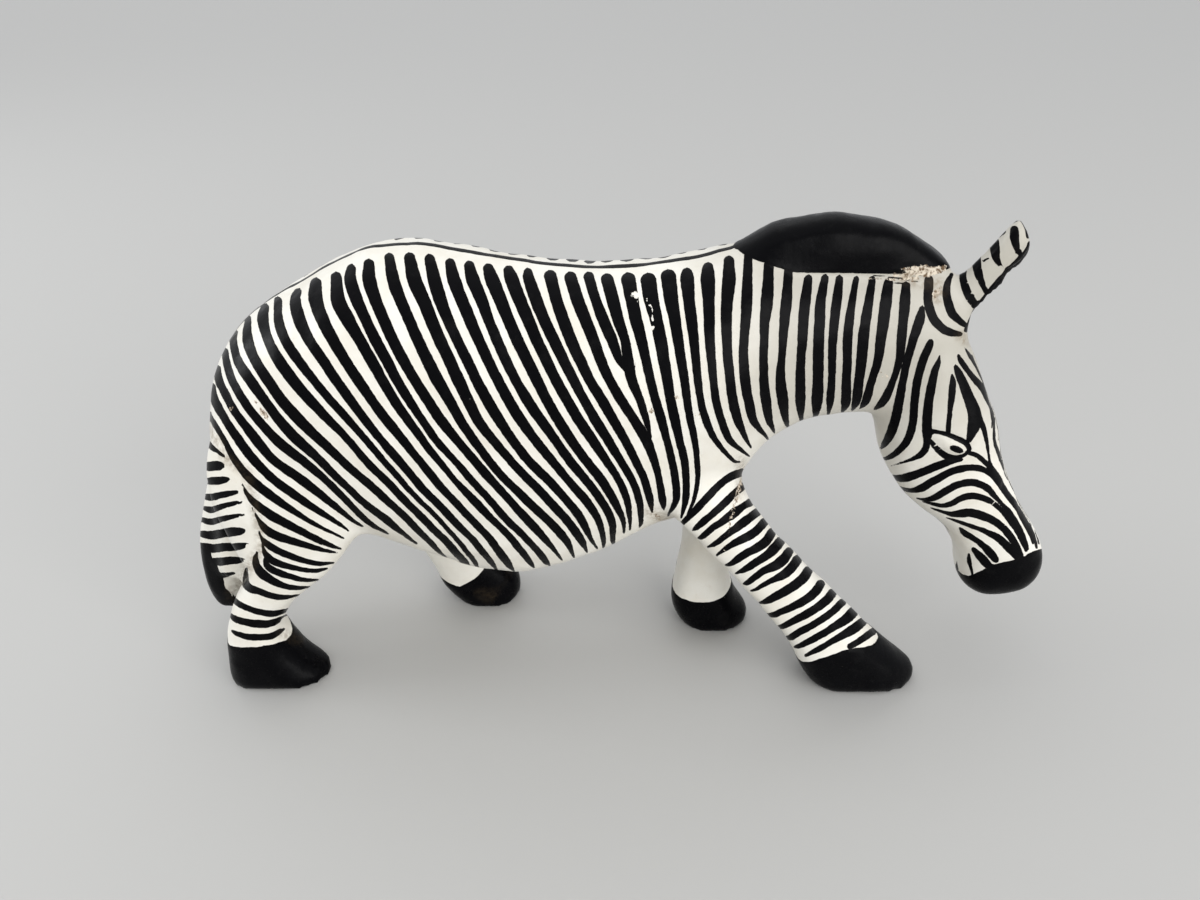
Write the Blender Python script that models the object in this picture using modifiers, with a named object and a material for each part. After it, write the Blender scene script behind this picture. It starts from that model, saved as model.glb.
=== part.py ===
"""Zebra figurine carved from one piece of wood: walking, neck level, head hanging low."""

import math

import bmesh
import bpy
from mathutils import Matrix, Vector

for item in list(bpy.data.objects):
    bpy.data.objects.remove(item, do_unlink=True)

# Driving sizes, in metres. The zebra faces +X and stands on z = 0.
LENGTH = 0.236  # block that the figure is carved from, back of the tail to the nose
HEIGHT = 0.127  # the same block; the ear tips end just below its top
BODY_WIDTH = 0.052  # barrel, side to side
NECK_WIDTH = 0.027
HEAD_WIDTH = 0.0275  # across the cheeks
MUZZLE_WIDTH = 0.0195
LEG_WIDTH = 0.0168  # shin and hoof, side to side
MANE_WIDTH = 0.0135
EAR_THICKNESS = 0.0052
EAR_SPREAD = 0.0066  # middle of one ear to the middle of the other
EAR_RIM = 0.0010  # wood left at each side of an ear's hollow
EAR_BACK = 0.0043  # how far the gouge keeps off the back of the ear
FAR_EAR_DROP = 2.2  # how much lower the far ear is carved, percent of the height
TAIL_WIDTH = 0.0115
SAW_DEPTH = 0.02  # wood that the saw takes away below the soles
NEAR_STANCE = -0.0172  # side offset of the hooves on the side away from +Y
FAR_HIND_STANCE = 0.0172
FAR_FRONT_STANCE = 0.0062

# The head looks a little to the near side, -Y. It turns about an upright line here.
HEAD_TURN = 7.0  # degrees
POLL_ALONG = 80.0  # percent of the length

# How finely the carving is meshed, also in metres.
CARVE_STEP = 0.0012
TRIANGLES = 8400
RING_POINTS = 28


def place(along, up):
    """Point of the side view, from percent of the length and percent of the height."""
    return Vector((LENGTH * (along / 100 - 0.5), 0, HEIGHT * up / 100))


def flow(rows, steps):
    """Extra rows between the given ones, on a smooth curve through them."""
    out = []
    for i in range(len(rows) - 1):
        before = rows[max(i - 1, 0)]
        after = rows[min(i + 2, len(rows) - 1)]
        for s in range(steps):
            t = s / steps
            row = []
            for a, b, c, d in zip(before, rows[i], rows[i + 1], after):
                row.append(
                    b
                    + 0.5 * t * (c - a)
                    + t * t * (a - 2.5 * b + 2 * c - 0.5 * d)
                    + t * t * t * (1.5 * (b - c) + 0.5 * (d - a))
                )
            out.append(tuple(row))
    out.append(tuple(rows[-1]))
    return out


def ring(centre, rise, half_side, half_rise, power_top, power_low):
    """Rounded section: half_side across (Y), half_rise along the direction rise."""
    points = []
    for k in range(RING_POINTS):
        turn = 2 * math.pi * k / RING_POINTS
        c, s = math.cos(turn), math.sin(turn)
        power = 2 / (power_top if s >= 0 else power_low)
        side = math.copysign(abs(c) ** power, c) * half_side
        lift = math.copysign(abs(s) ** power, s) * half_rise
        points.append(centre + Vector((0, side, 0)) + rise * lift)
    return points


def skin(name, rings):
    """Closed solid through a list of rings, with flat ends."""
    mesh = bpy.data.meshes.new(name)
    bm = bmesh.new()
    loops = [[bm.verts.new(p) for p in points] for points in rings]
    for low, high in zip(loops, loops[1:]):
        for k in range(len(low)):
            n = (k + 1) % len(low)
            bm.faces.new((low[k], low[n], high[n], high[k]))
    bm.faces.new(loops[0])
    bm.faces.new(loops[-1])
    bmesh.ops.recalc_face_normals(bm, faces=bm.faces)
    bm.to_mesh(mesh)
    bm.free()
    made = bpy.data.objects.new(name, mesh)
    figure.objects.link(made)
    return made


def barrel(name, rows, power_top, power_low):
    """Solid of upright sections along X.

    A row is: percent along, top percent, bottom percent, width in metres.
    """
    rings = []
    for along, top, low, width in flow(rows, 4):
        centre = place(along, (top + low) / 2)
        half = max(HEIGHT * (top - low) / 200, 0.0004)
        rings.append(ring(centre, Vector((0, 0, 1)), width / 2, half, power_top, power_low))
    return skin(name, rings)


def leg(name, rows, power_front, power_back):
    """Solid of level sections, from inside the body down past the floor.

    A row is: percent up, percent along at the back, percent along at the front,
    side offset in metres, and width in metres.
    """
    rings = []
    for up, back, front, side, width in flow(rows, 4):
        centre = place((back + front) / 2, up) + Vector((0, side, 0))
        half = LENGTH * (front - back) / 200
        rings.append(ring(centre, Vector((1, 0, 0)), width / 2, half, power_front, power_back))
    return skin(name, rings)


def limb(name, rows, power, ahead=0.0):
    """Solid of sections square to a path in the side view, turned with the head.

    A row is: percent along, percent up, lean of the section in degrees,
    depth as percent of the height, side offset and width in metres. Each section
    is moved forward, along its own depth, by ahead in metres.
    """
    poll = place(POLL_ALONG, 0)
    about = Matrix.Rotation(math.radians(-HEAD_TURN), 4, "Z")
    rings = []
    for along, up, lean, depth, side, width in flow(rows, 4):
        centre = place(along, up) + Vector((0, side, 0))
        turn = math.radians(lean)
        rise = Vector((math.cos(turn), 0, math.sin(turn)))
        points = ring(centre + rise * ahead, rise, width / 2, HEIGHT * depth / 200, power, power)
        rings.append([poll + about @ (p - poll) for p in points])
    return skin(name, rings)


figure = bpy.data.collections.new("Zebra figurine")
bpy.context.scene.collection.children.link(figure)
tools = bpy.data.collections.new("Cutters")
bpy.context.scene.collection.children.link(tools)
tools.hide_render = True

# Trunk and neck: rump on the left, deep belly, withers, level neck up to the poll.
trunk = barrel(
    "trunk",
    [
        (6.0, 57.0, 51.0, BODY_WIDTH * 0.22),
        (7.1, 64.8, 42.5, BODY_WIDTH * 0.46),
        (9.2, 73.4, 37.0, BODY_WIDTH * 0.69),
        (12.6, 79.7, 35.0, BODY_WIDTH * 0.85),
        (17.8, 85.6, 33.8, BODY_WIDTH * 0.95),
        (23.7, 91.2, 31.0, BODY_WIDTH),
        (28.8, 92.7, 26.5, BODY_WIDTH),
        (33.9, 91.5, 22.8, BODY_WIDTH),
        (38.6, 89.8, 21.6, BODY_WIDTH),
        (43.6, 88.7, 24.0, BODY_WIDTH * 0.99),
        (48.3, 88.2, 28.2, BODY_WIDTH * 0.97),
        (53.4, 88.9, 34.0, BODY_WIDTH * 0.95),
        (57.2, 90.2, 37.0, BODY_WIDTH * 0.92),
        (60.2, 91.6, 40.0, BODY_WIDTH * 0.86),
        (62.7, 91.4, 46.0, BODY_WIDTH * 0.76),
        (65.3, 90.2, 53.0, (BODY_WIDTH + NECK_WIDTH) * 0.43),
        (68.6, 89.6, 57.0, NECK_WIDTH * 1.08),
        (72.9, 89.3, 58.7, NECK_WIDTH),
        (77.1, 89.0, 59.2, NECK_WIDTH * 0.96),
        (80.5, 88.2, 61.4, NECK_WIDTH * 0.92),
        (83.5, 83.5, 66.5, NECK_WIDTH * 0.74),
        (84.8, 78.0, 73.0, NECK_WIDTH * 0.40),
    ],
    2.2,
    2.3,
)

# Head: forehead, cheeks, a slim bridge and a blunt muzzle.
head = limb(
    "head",
    [
        (78.8, 78.0, 28, 16.0, 0, HEAD_WIDTH * 0.70),
        (80.3, 72.0, 26, 18.6, 0, HEAD_WIDTH * 0.90),
        (82.1, 63.5, 25, 21.2, 0, HEAD_WIDTH * 0.98),
        (84.2, 54.0, 25, 23.0, 0, HEAD_WIDTH),
        (86.5, 45.4, 27, 20.6, 0, HEAD_WIDTH * 0.92),
        (90.3, 37.0, 31, 16.0, 0, (HEAD_WIDTH + MUZZLE_WIDTH) * 0.43),
        (92.6, 30.8, 28, 16.0, 0, MUZZLE_WIDTH),
        (94.0, 25.0, 22, 18.0, 0, MUZZLE_WIDTH),
        (94.7, 20.4, 18, 17.0, 0, MUZZLE_WIDTH * 0.93),
        (95.0, 17.4, 15, 12.0, 0, MUZZLE_WIDTH * 0.72),
        (95.1, 16.0, 15, 5.0, 0, MUZZLE_WIDTH * 0.35),
    ],
    2.4,
)

mane = barrel(
    "mane",
    [
        (60.4, 91.0, 82.0, MANE_WIDTH * 0.60),
        (62.0, 93.2, 82.0, MANE_WIDTH * 0.85),
        (64.8, 96.0, 80.0, MANE_WIDTH),
        (70.6, 97.8, 80.0, MANE_WIDTH),
        (76.4, 95.6, 80.0, MANE_WIDTH),
        (80.6, 91.2, 80.0, MANE_WIDTH * 0.92),
        (82.0, 88.6, 80.0, MANE_WIDTH * 0.75),
    ],
    3.4,
    2.5,
)


def ear_rows(side, drop, thickness):
    """Rows of one ear, from inside the head to the squared tip."""
    across = side * EAR_SPREAD / 2
    return [
        (81.2, 72.0, -25, 8.2, across, thickness),
        (82.4 + drop * 0.2, 79.0 - drop * 0.5, -25, 8.8, across, thickness * 1.1),
        (84.8 + drop * 0.5, 86.4 - drop, -27, 7.0, across * 1.05, thickness),
        (86.5 + drop * 0.5, 91.5 - drop, -38, 6.2, across * 1.05, thickness),
        (88.1 + drop * 0.5, 96.4 - drop, -60, 6.8, across * 1.05, thickness),
    ]


ears = [
    limb("ear_near", ear_rows(-1, 0, EAR_THICKNESS), 2.6),
    limb("ear_far", ear_rows(1, FAR_EAR_DROP, EAR_THICKNESS), 2.6),
]

tail = leg(
    "tail",
    [
        (57.0, 5.8, 10.8, 0, TAIL_WIDTH * 0.80),
        (50.0, 5.0, 10.0, 0, TAIL_WIDTH),
        (38.0, 2.5, 8.0, 0, TAIL_WIDTH),
        (26.0, 0.5, 6.0, 0, TAIL_WIDTH),
        (16.0, 0.1, 5.0, 0, TAIL_WIDTH * 0.95),
        (10.0, 0.5, 3.8, 0, TAIL_WIDTH * 0.75),
        (7.8, 1.0, 3.2, 0, TAIL_WIDTH * 0.55),
    ],
    2.8,
    2.8,
)
web = leg(
    "tail_web",
    [
        (50.0, 6.0, 12.0, -0.003, TAIL_WIDTH),
        (34.0, 4.0, 10.0, -0.004, TAIL_WIDTH),
        (20.0, 3.4, 8.4, -0.005, TAIL_WIDTH * 0.9),
    ],
    2.8,
    2.8,
)

THIGH = LEG_WIDTH * 1.45
hind_near = leg(
    "hind_leg_near",
    [
        (74.0, 13.0, 22.0, NEAR_STANCE * 0.40, THIGH * 0.70),
        (64.0, 9.0, 24.5, NEAR_STANCE * 0.58, THIGH * 0.95),
        (56.0, 7.4, 25.0, NEAR_STANCE * 0.70, THIGH),
        (48.0, 6.8, 23.8, NEAR_STANCE * 0.78, THIGH),
        (40.0, 7.7, 22.3, NEAR_STANCE * 0.86, THIGH * 0.90),
        (34.5, 8.6, 20.5, NEAR_STANCE * 0.93, LEG_WIDTH * 1.12),
        (30.0, 9.2, 18.7, NEAR_STANCE, LEG_WIDTH),
        (26.0, 8.4, 16.4, NEAR_STANCE, LEG_WIDTH * 0.96),
        (22.0, 6.8, 13.8, NEAR_STANCE, LEG_WIDTH * 0.96),
        (18.0, 5.9, 12.2, NEAR_STANCE, LEG_WIDTH * 0.96),
        (13.5, 5.3, 11.4, NEAR_STANCE, LEG_WIDTH),
        (9.0, 4.9, 12.1, NEAR_STANCE, LEG_WIDTH),
        (4.0, 4.5, 14.2, NEAR_STANCE, LEG_WIDTH),
        (1.4, 4.4, 15.6, NEAR_STANCE, LEG_WIDTH),
        (-4.0, 4.4, 16.0, NEAR_STANCE, LEG_WIDTH),
    ],
    2.1,
    3.4,
)
front_near = leg(
    "front_leg_near",
    [
        (66.0, 50.0, 59.0, NEAR_STANCE * 0.50, THIGH * 0.70),
        (56.0, 51.0, 61.0, NEAR_STANCE * 0.66, THIGH * 0.84),
        (48.0, 53.2, 62.7, NEAR_STANCE * 0.80, THIGH * 0.85),
        (41.0, 56.4, 64.8, NEAR_STANCE * 0.94, LEG_WIDTH * 1.12),
        (32.5, 60.4, 68.7, NEAR_STANCE, LEG_WIDTH),
        (22.0, 65.0, 74.1, NEAR_STANCE * 1.02, LEG_WIDTH * 0.96),
        (14.0, 68.2, 78.1, NEAR_STANCE * 1.04, LEG_WIDTH),
        (8.5, 69.8, 81.1, NEAR_STANCE * 1.05, LEG_WIDTH * 1.04),
        (4.5, 70.8, 83.7, NEAR_STANCE * 1.05, LEG_WIDTH * 1.04),
        (1.8, 71.8, 84.6, NEAR_STANCE * 1.05, LEG_WIDTH * 1.04),
        (-4.0, 74.6, 84.6, NEAR_STANCE * 1.05, LEG_WIDTH * 1.04),
    ],
    2.1,
    3.4,
)
hind_far = leg(
    "hind_leg_far",
    [
        (72.0, 12.0, 24.0, FAR_HIND_STANCE * 0.42, THIGH * 0.70),
        (60.0, 9.0, 26.0, FAR_HIND_STANCE * 0.64, THIGH * 0.95),
        (46.0, 11.0, 26.2, FAR_HIND_STANCE * 0.78, THIGH),
        (34.0, 16.0, 27.5, FAR_HIND_STANCE * 0.90, THIGH * 0.85),
        (26.0, 20.6, 30.0, FAR_HIND_STANCE * 0.97, LEG_WIDTH * 1.05),
        (18.0, 24.2, 32.4, FAR_HIND_STANCE, LEG_WIDTH),
        (11.0, 26.0, 35.0, FAR_HIND_STANCE, LEG_WIDTH),
        (6.0, 26.8, 36.9, FAR_HIND_STANCE, LEG_WIDTH),
        (2.0, 28.4, 37.2, FAR_HIND_STANCE, LEG_WIDTH),
        (-4.0, 30.6, 36.6, FAR_HIND_STANCE, LEG_WIDTH),
    ],
    2.1,
    2.8,
)
front_far = leg(
    "front_leg_far",
    [
        (54.0, 53.5, 63.0, FAR_HIND_STANCE * 0.72, THIGH * 0.80),
        (42.0, 56.0, 63.4, FAR_HIND_STANCE * 0.66, THIGH * 0.80),
        (30.0, 57.8, 63.8, FAR_FRONT_STANCE * 1.55, LEG_WIDTH * 1.04),
        (20.0, 57.6, 63.6, FAR_FRONT_STANCE * 1.25, LEG_WIDTH),
        (12.0, 57.0, 63.8, FAR_FRONT_STANCE * 1.05, LEG_WIDTH),
        (7.5, 56.6, 64.8, FAR_FRONT_STANCE, LEG_WIDTH),
        (3.5, 57.0, 66.2, FAR_FRONT_STANCE, LEG_WIDTH),
        (1.0, 57.8, 66.4, FAR_FRONT_STANCE, LEG_WIDTH),
        (-4.0, 59.0, 66.2, FAR_FRONT_STANCE, LEG_WIDTH),
    ],
    2.1,
    2.8,
)

# The pieces overlap deeply. They become one body here, as in the carved block.
pieces = [trunk, head, mane, tail, web, hind_near, front_near, hind_far, front_far, *ears]
joined = bmesh.new()
for piece in pieces:
    joined.from_mesh(piece.data)
blank_mesh = bpy.data.meshes.new("blank")
joined.to_mesh(blank_mesh)
joined.free()
for piece in pieces:
    bpy.data.objects.remove(piece, do_unlink=True)

blank = bpy.data.objects.new("blank", blank_mesh)
figure.objects.link(blank)
fuse = blank.modifiers.new("fuse", "REMESH")
fuse.mode = "VOXEL"
fuse.voxel_size = CARVE_STEP
ease = blank.modifiers.new("ease", "SMOOTH")
ease.factor = 0.5
ease.iterations = 8

bpy.context.view_layer.update()
fused = bpy.data.meshes.new_from_object(blank.evaluated_get(bpy.context.evaluated_depsgraph_get()))
bpy.data.objects.remove(blank, do_unlink=True)
count = sum(len(face.vertices) - 2 for face in fused.polygons)

zebra = bpy.data.objects.new("zebra_figurine", fused)
figure.objects.link(zebra)
trim = zebra.modifiers.new("trim", "DECIMATE")
trim.ratio = TRIANGLES / count
bpy.context.view_layer.update()
coarse = bpy.data.meshes.new_from_object(zebra.evaluated_get(bpy.context.evaluated_depsgraph_get()))
zebra.modifiers.clear()
zebra.data = coarse

# Put the origin below the middle of the figure's box.
xs = [v.co.x for v in coarse.vertices]
ys = [v.co.y for v in coarse.vertices]
middle = Vector(((max(xs) + min(xs)) / 2, (max(ys) + min(ys)) / 2, 0))
coarse.transform(Matrix.Translation(-middle))

# Saw the soles flat.
bpy.ops.mesh.primitive_cube_add(size=1)
floor = bpy.context.object
floor.name = "floor_cut"
floor.scale = (LENGTH * 1.2, BODY_WIDTH * 2, SAW_DEPTH)
floor.location = (0, 0, -SAW_DEPTH / 2)
for holder in list(floor.users_collection):
    holder.objects.unlink(floor)
tools.objects.link(floor)
floor.display_type = "WIRE"
floor.hide_render = True
saw = zebra.modifiers.new("sole saw", "BOOLEAN")
saw.operation = "DIFFERENCE"
saw.solver = "EXACT"
saw.object = floor

# Hollow the front of each ear. The gouge stops short of the tip.
for name, side, drop in (("gouge_near", -1, 0), ("gouge_far", 1, FAR_EAR_DROP)):
    rows = ear_rows(side, drop, EAR_THICKNESS - 2 * EAR_RIM)[1:4]
    gouge = limb(name, rows, 2.0, EAR_BACK)
    gouge.location = -middle
    figure.objects.unlink(gouge)
    tools.objects.link(gouge)
    gouge.display_type = "WIRE"
    gouge.hide_render = True
    carve = zebra.modifiers.new("carve " + name, "BOOLEAN")
    carve.operation = "DIFFERENCE"
    carve.solver = "EXACT"
    carve.object = gouge

wood = bpy.data.materials.new("painted wood")
wood.use_nodes = True
paint = wood.node_tree.nodes["Principled BSDF"]
paint.inputs["Base Color"].default_value = (0.74, 0.71, 0.63, 1)
paint.inputs["Roughness"].default_value = 0.4
coarse.materials.clear()
coarse.materials.append(wood)
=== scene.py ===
# %% [markdown]
# # Zebra figurine
# The real thing is one small block of soft wood, carved into a walking zebra and painted
# by hand with a brush. This lesson starts from the carved solid, gives it a finer skin,
# reads the brush strokes one by one, and turns them into black paint on that skin.

# %% Load the carved solid
import math

import bmesh
import bpy
import numpy as np
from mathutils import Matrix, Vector


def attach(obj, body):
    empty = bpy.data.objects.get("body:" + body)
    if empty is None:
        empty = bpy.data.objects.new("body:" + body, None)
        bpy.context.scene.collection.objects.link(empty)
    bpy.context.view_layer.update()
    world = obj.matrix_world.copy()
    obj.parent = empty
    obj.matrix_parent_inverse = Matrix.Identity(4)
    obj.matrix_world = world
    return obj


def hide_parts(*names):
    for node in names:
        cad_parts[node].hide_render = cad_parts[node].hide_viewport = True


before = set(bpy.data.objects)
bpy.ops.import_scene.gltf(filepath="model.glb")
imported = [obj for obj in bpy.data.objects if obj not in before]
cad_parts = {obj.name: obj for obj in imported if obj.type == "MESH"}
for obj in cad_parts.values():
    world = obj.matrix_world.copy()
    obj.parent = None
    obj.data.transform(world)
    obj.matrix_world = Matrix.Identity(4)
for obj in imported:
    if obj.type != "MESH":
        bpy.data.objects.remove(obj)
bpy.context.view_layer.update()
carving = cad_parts["zebra_figurine"]
print("carved solid:", len(carving.data.polygons), "faces")

# %% [markdown]
# ## Camera
# A phone took the picture from the near side, a little above, about a hand's length away.
# Such a close lens makes the near hooves look larger, so the same distance, tilt and
# lens are used here. Every brush stroke further down is read in this camera's picture.

# %% Place the camera
MM = 0.001
EYE = np.array([-4.5, -202.3, 183.6])  # mm
TILT = math.radians(31.0)  # how far it looks down
PICTURE_WIDTH, PICTURE_HEIGHT = 1200, 900
FOCAL_PIXELS = 901.0
SENSOR = 36.0  # mm
NEAREST = 0.01  # m, closer things are not drawn


def in_scene(name, data):
    """A new object in the scene."""
    made = bpy.data.objects.new(name, data)
    bpy.context.scene.collection.objects.link(made)
    return made


lens = bpy.data.cameras.new("camera")
lens.sensor_width = SENSOR
lens.lens = SENSOR * FOCAL_PIXELS / PICTURE_WIDTH
lens.clip_start = NEAREST
camera = in_scene("camera", lens)
camera.location = Vector(EYE) * MM
camera.rotation_euler = (math.pi / 2 - TILT, 0, 0)
bpy.context.scene.camera = camera
print("lens", round(lens.lens, 1), "mm")


def in_picture(points):
    """Place of each point, in mm, in the picture, in pixels from its upper left corner."""
    away = points - EYE
    ahead = np.array([0, math.cos(TILT), -math.sin(TILT)])
    upward = np.array([0, math.sin(TILT), math.cos(TILT)])
    depth = away @ ahead
    across = PICTURE_WIDTH / 2 + FOCAL_PIXELS * away[:, 0] / depth
    down = PICTURE_HEIGHT / 2 - FOCAL_PIXELS * (away @ upward) / depth
    return np.stack([across, down], axis=1)


# %% [markdown]
# ## A finer skin
# The carved solid has few, large faces, so its curves look cut with a knife. A voxel
# remesh wraps it in small even squares, and a light smoothing takes the facets away, as
# sandpaper does. The solid itself stays as it is: this skin is a new object that is
# shown in its place.

# %% Wrap the solid in small squares
SQUARE = 1.1  # mm
SANDING = 5  # smoothing rounds
PRESSURE = 0.5  # how much of the way each round moves a point
WELD = 0.001 * MM  # points closer than this become one

skin_mesh = carving.data.copy()
skin_mesh.name = "painted_zebra"
welded = bmesh.new()
welded.from_mesh(skin_mesh)
bmesh.ops.remove_doubles(welded, verts=welded.verts, dist=WELD)
welded.to_mesh(skin_mesh)
welded.free()
zebra = in_scene("painted_zebra", skin_mesh)
wrap = zebra.modifiers.new("wrap", "REMESH")
wrap.mode = "VOXEL"
wrap.voxel_size = SQUARE * MM
sand = zebra.modifiers.new("sand", "SMOOTH")
sand.factor = PRESSURE
sand.iterations = SANDING
bpy.context.view_layer.update()
skin_mesh = bpy.data.meshes.new_from_object(
    zebra.evaluated_get(bpy.context.evaluated_depsgraph_get())
)
zebra.modifiers.clear()
zebra.data = skin_mesh
print("skin:", len(skin_mesh.polygons), "squares")

# %% [markdown]
# ## Where a point of the skin lies on the animal
# The picture shows one side. The other side was painted in the same way, so a point
# there looks up the stroke of its mirror point. The head turns a little to the near
# side, so it is mirrored about its own middle. The far legs stand elsewhere than the near
# ones, so their points are first moved along to the near leg.

# %% Name the places
MIDDLE_Y = 0.3  # mm, middle of the body
POLL_X = 71.9  # mm, where the head starts to turn
HEAD_TURN = math.radians(7.0)
BLOCK_LENGTH, BLOCK_HEIGHT = 236.0, 127.0  # mm
BLOCK_SHIFT = 1.1  # mm
NEAR_LEG_Y, FAR_HIND_Y, FAR_FRONT_Y = -16.9, 17.5, 6.5  # mm
LEGS_APART_Y = -5.0  # mm, between the two front legs
LEG_TOP = 36.0  # percent of the height
LEG_FADE = (34.0, 50.0)  # above these heights a point is no longer moved to the near leg
LEG_SPARE = 5.0  # percent of the length


def numbers(text, mark=","):
    """The numbers between the marks."""
    return [float(n) for n in text.split(mark)]


def table(text):
    """Rows of numbers."""
    return np.array([numbers(row) for row in text.split()])


# Legs in side view: percent of the height, then the back and the front edge in percent of
# the length, from the sole up.
NEAR_HIND = table("""1.4,4.4,15.6 4,4.5,14.2 9,4.9,12.1 13.5,5.3,11.4 18,5.9,12.2 22,6.8,13.8
    26,8.4,16.4 30,9.2,18.7 34.5,8.6,20.5 40,7.7,22.3 48,6.8,23.8""")
FAR_HIND = table("""2,28.4,37.2 6,26.8,36.9 11,26,35 18,24.2,32.4 26,20.6,30 34,16,27.5
    46,11,26.2 60,9,26""")
NEAR_FRONT = table("""1.8,71.8,84.6 4.5,70.8,83.7 8.5,69.8,81.1 14,68.2,78.1 22,65,74.1
    32.5,60.4,68.7 41,56.4,64.8 48,53.2,62.7""")
FAR_FRONT = table("""1,57.8,66.4 3.5,57,66.2 7.5,56.6,64.8 12,57,63.8 20,57.6,63.6
    30,57.8,63.8 42,56,63.4 54,53.5,63""")


def ramp(value, start, end):
    """0 before start, 1 after end, and a soft step between them."""
    part = np.clip((value - start) / (end - start), 0, 1)
    return part * part * (3 - 2 * part)


def edges_at(leg, up):
    """Back and front edge of a leg at these heights, in percent of the length."""
    return np.interp(up, leg[:, 0], leg[:, 1]), np.interp(up, leg[:, 0], leg[:, 2])


def within(along, leg, up, spare):
    """1 on the leg, sinking to 0 over spare percent beside it."""
    back, front = edges_at(leg, up)
    return (1 - ramp(back - along, 0, spare)) * (1 - ramp(along - front, 0, spare))


class Places:
    """Each point of the skin, with the mirror point that the picture shows."""

    def __init__(self, points, normals):
        self.points = points
        self.along = (points[:, 0] - BLOCK_SHIFT) / BLOCK_LENGTH * 100 + 50
        self.up = points[:, 2] / BLOCK_HEIGHT * 100
        out = np.tile([0.0, 1.0, 0.0], (len(points), 1))
        self.head = points[:, 0] > POLL_X
        out[self.head] = (math.sin(HEAD_TURN), math.cos(HEAD_TURN), 0)
        offset = points[:, 1] - MIDDLE_Y
        turned = (points[:, 0] - POLL_X) * out[:, 0] + offset * out[:, 1]
        self.off_middle = np.where(self.head, turned, offset)
        front_leg = (self.up < LEG_TOP) & (self.along > 50)
        far = np.where(front_leg, points[:, 1] > LEGS_APART_Y, self.off_middle > 0)
        across = np.where(front_leg, np.abs(self.off_middle), self.off_middle)
        shift = np.where(far, 2 * across, 0)
        self.shown = points - out * shift[:, None]
        turn_over = 2 * (normals * out).sum(axis=1) * far
        self.normals = normals - out * turn_over[:, None]
        low = 1 - ramp(self.up, *LEG_FADE)
        for near_leg, far_leg, leg_y in ((NEAR_HIND, FAR_HIND, FAR_HIND_Y),
                                         (NEAR_FRONT, FAR_FRONT, FAR_FRONT_Y)):
            share = low * far * within(self.along, far_leg, self.up, LEG_SPARE)
            back, front = edges_at(far_leg, self.up)
            near_back, near_front = edges_at(near_leg, self.up)
            wanted = near_back + (self.along - back) / (front - back) * (near_front - near_back)
            self.shown[:, 0] += share * (wanted - self.along) * BLOCK_LENGTH / 100
            near_y = NEAR_LEG_Y - (points[:, 1] - leg_y)
            self.shown[:, 1] += share * (near_y - self.shown[:, 1])
        self.far = far
        self.real_normals = normals
        self.pixels = in_picture(self.shown)
        to_eye = EYE - self.shown
        to_eye /= np.linalg.norm(to_eye, axis=1)[:, None]
        self.facing = (self.normals * to_eye).sum(axis=1)


def places_of(mesh):
    """Places of the corner points of a mesh."""
    points, normals = np.empty((2, len(mesh.vertices) * 3))
    mesh.vertices.foreach_get("co", points)
    mesh.vertex_normals.foreach_get("vector", normals)
    return Places(points.reshape(-1, 3) / MM, normals.reshape(-1, 3))


# %% [markdown]
# ## Brush strokes
# Each stripe is one pull of a round brush: it starts round, swells, bends and ends in a
# point. A stroke is therefore written as the brush moves, from point to point, with half
# its width at each, in pixels of the picture. The body stripes are read in level slices.

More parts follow.
